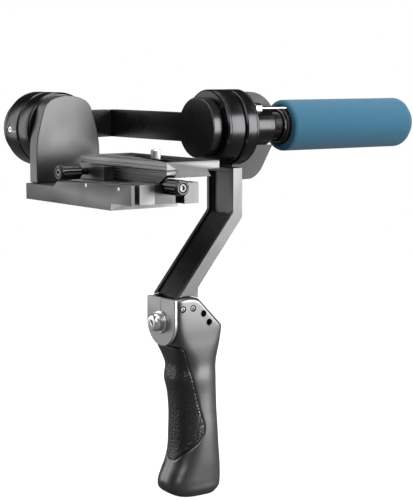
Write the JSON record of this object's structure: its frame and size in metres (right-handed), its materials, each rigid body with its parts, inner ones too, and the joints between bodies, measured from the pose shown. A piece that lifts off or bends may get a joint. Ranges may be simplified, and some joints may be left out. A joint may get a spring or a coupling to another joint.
{
  "type": "gimbal stabilizer",
  "caption": "Hand-held camera stabilizer with a pistol grip, angled arm, foam rear handle, roll motor, and a motor-tilted cage with a sliding camera plate.",
  "frame": {"origin": "on the camera seat, the flat top of the camera plate between its pad and its screw slot", "axes": "+Z out of the camera seat, +X rearward along the foam handle (the lens looks along -X), +Y towards the tilt motor"},
  "size_m": [0.2626, 0.176, 0.2549],
  "materials": {
    "black_anodised": "satin black anodised",
    "grey_anodised": "satin dark grey anodised",
    "gloss_inlay": "high gloss",
    "grip_plastic": "fine satin moulded texture",
    "grip_rubber": "soft-touch matte",
    "foam": "closed-cell foam, matte",
    "steel": "bright plated",
    "copper": "enamelled winding wire",
    "magnet": "nickel plated",
    "circuit": "solder mask",
    "cell": "shrink sleeve",
    "pad_rubber": "matte"
  },
  "bodies": {
    "grip": {"grip_shell_near": "grip_plastic", "grip_shell_far": "grip_plastic", "grip_rubber": "grip_rubber", "head_front_plate": "grey_anodised", "head_bolt": "steel", "head_washer": "steel", "angle_screw_front": "steel", "angle_screw_rear": "steel", "shell_screw_1": "steel", "shell_screw_2": "steel", "pivot_pin": "steel"},
    "arm": {"z_arm": "grey_anodised", "arm_inlay": "gloss_inlay", "rear_bracket": "black_anodised", "bracket_nut": "steel", "clamp_rod": "steel", "bracket_screw": "steel", "roll_housing": "black_anodised", "roll_stator": "copper", "roll_bearing_front": "steel", "roll_bearing_rear": "steel", "neck": "black_anodised", "silver_ring": "steel", "handle_tube": "black_anodised", "foam_grip": "foam", "battery_cell": "cell", "controller_board": "circuit"},
    "mode_button": {"mode_button": "pad_rubber"},
    "lock_collar": {"lock_collar": "black_anodised"},
    "end_cap": {"end_cap": "black_anodised"},
    "roll_frame": {"roll_bell": "black_anodised", "roll_magnets": "magnet", "roll_shaft": "steel", "roll_arm_rear": "black_anodised", "roll_arm_side": "black_anodised", "corner_screw_1": "steel", "corner_screw_2": "steel", "tilt_housing": "black_anodised", "tilt_stator": "copper", "tilt_bearing_inner": "steel", "tilt_bearing_outer": "steel", "tilt_rim_screw": "steel"},
    "cage": {"tilt_bell": "black_anodised", "tilt_magnets": "magnet", "tilt_shaft": "steel", "cage_side_plate": "grey_anodised", "cage_base": "black_anodised", "bay_cover": "black_anodised", "sensor_board": "circuit", "side_plate_screw_1": "steel", "side_plate_screw_2": "steel"},
    "slider": {"slider": "black_anodised"},
    "clamp_jaw": {"clamp_jaw": "black_anodised"},
    "front_knob": {"front_knob": "black_anodised", "front_knob_insert": "steel"},
    "side_knob": {"side_knob": "black_anodised", "side_knob_insert": "steel"},
    "camera_plate": {"camera_plate": "black_anodised", "plate_pad": "pad_rubber"},
    "camera_screw": {"camera_screw": "steel"}
  },
  "joints": [
    {"name": "arm_angle", "type": "hinge", "parent": "grip", "child": "arm", "pos_m": [0.0341, 0.0135, -0.1116], "axis": [0, 1, 0], "range_deg": [0, 52]},
    {"name": "roll_motor", "type": "hinge", "parent": "arm", "child": "roll_frame", "pos_m": [0.0657, 0.0135, 0.016], "axis": [1, 0, 0], "range_deg": [-45, 45]},
    {"name": "tilt_motor", "type": "hinge", "parent": "roll_frame", "child": "cage", "pos_m": [-0.0073, 0.0925, 0.014], "axis": [0, 1, 0], "range_deg": [-90, 90]},
    {"name": "slider_fore_aft", "type": "slide", "parent": "cage", "child": "slider", "axis": [1, 0, 0], "range_m": [-0.0025, 0.012]},
    {"name": "jaw_release", "type": "slide", "parent": "slider", "child": "clamp_jaw", "axis": [1, 0, 0], "range_m": [-0.0015, 0]},
    {"name": "plate_slide", "type": "slide", "parent": "slider", "child": "camera_plate", "axis": [0, 1, 0], "range_m": [-0.01, 0.01]},
    {"name": "front_knob_turn", "type": "hinge", "parent": "clamp_jaw", "child": "front_knob", "pos_m": [-0.0313, 0.0295, -0.009], "axis": [1, 0, 0], "continuous": true},
    {"name": "side_knob_turn", "type": "hinge", "parent": "slider", "child": "side_knob", "pos_m": [-0.0083, -0.0485, -0.0143], "axis": [0, 1, 0], "continuous": true},
    {"name": "camera_screw_turn", "type": "hinge", "parent": "camera_plate", "child": "camera_screw", "pos_m": [0.0097, -0.0025, -0.004], "axis": [0, 0, 1], "continuous": true},
    {"name": "lock_collar_turn", "type": "hinge", "parent": "arm", "child": "lock_collar", "pos_m": [0.118, 0.0135, 0.016], "axis": [1, 0, 0], "continuous": true},
    {"name": "end_cap_turn", "type": "hinge", "parent": "arm", "child": "end_cap", "pos_m": [0.2222, 0.0135, 0.016], "axis": [1, 0, 0], "continuous": true},
    {"name": "mode_button_press", "type": "slide", "parent": "arm", "child": "mode_button", "axis": [0, -1, 0], "range_m": [0, 0.0012], "stiffness_N_per_m": 400}
  ]
}
